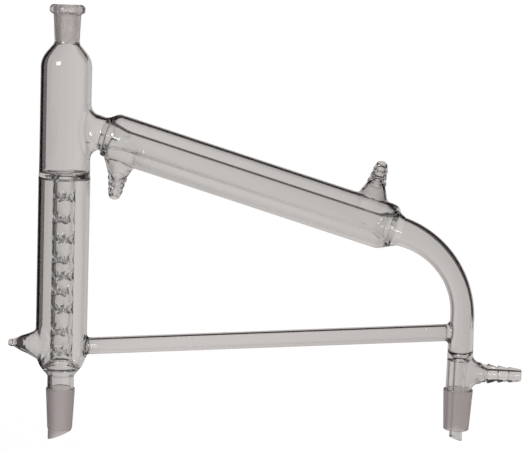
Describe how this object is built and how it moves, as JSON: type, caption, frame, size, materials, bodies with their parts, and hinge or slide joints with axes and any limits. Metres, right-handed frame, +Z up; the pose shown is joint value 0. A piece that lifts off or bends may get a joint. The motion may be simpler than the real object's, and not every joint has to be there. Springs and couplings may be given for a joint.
{
  "type": "jacketed distillation column",
  "caption": "One-piece blown glass distillation column with an indented inner tube in a vacuum jacket, a jacketed condenser, a bent receiver leg, a brace and ground joints.",
  "frame": {"origin": "centre of the pot cone's gauge plane, the plane of its large end", "axes": "+Z up the column's axis, +X from the column towards the receiver leg, -Y towards the front, the side away from both coolant connections"},
  "size_m": [0.2553, 0.0475, 0.2171],
  "materials": {
    "clear_glass": "clear and fire-polished, with the two cones and the socket ground matt"
  },
  "bodies": {
    "root": {"glass_body": "clear_glass"}
  },
  "joints": []
}
